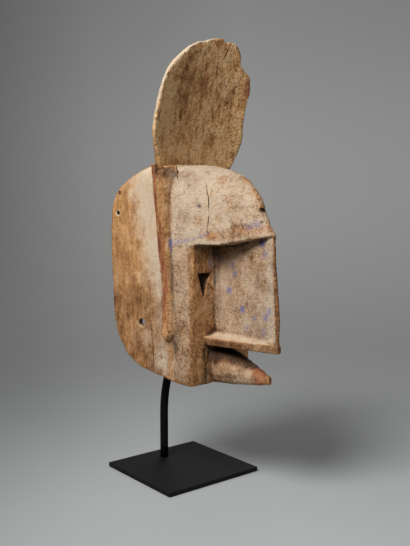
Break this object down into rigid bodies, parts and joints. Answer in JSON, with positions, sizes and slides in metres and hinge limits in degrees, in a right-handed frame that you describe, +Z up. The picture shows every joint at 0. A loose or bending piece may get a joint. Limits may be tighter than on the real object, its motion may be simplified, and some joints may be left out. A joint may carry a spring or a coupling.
{
  "type": "wooden mask on stand",
  "caption": "Carved wooden animal mask with a scooped crest, long ears, slab nose and beak, hollow at the back, held up by a bent steel rod on a square steel plate.",
  "frame": {"origin": "middle of the steel plate's underside", "axes": "+Z up, -Y the way the mask looks, +X towards the broken side of the crest"},
  "size_m": [0.1794, 0.277, 0.612],
  "materials": {
    "wood": "dry, worn, pale patina with brown stains",
    "rod_steel": "satin black",
    "plate_steel": "matt black"
  },
  "bodies": {
    "root": {"mask": "wood", "stand_rod": "rod_steel", "stand_plate": "plate_steel"}
  },
  "joints": []
}
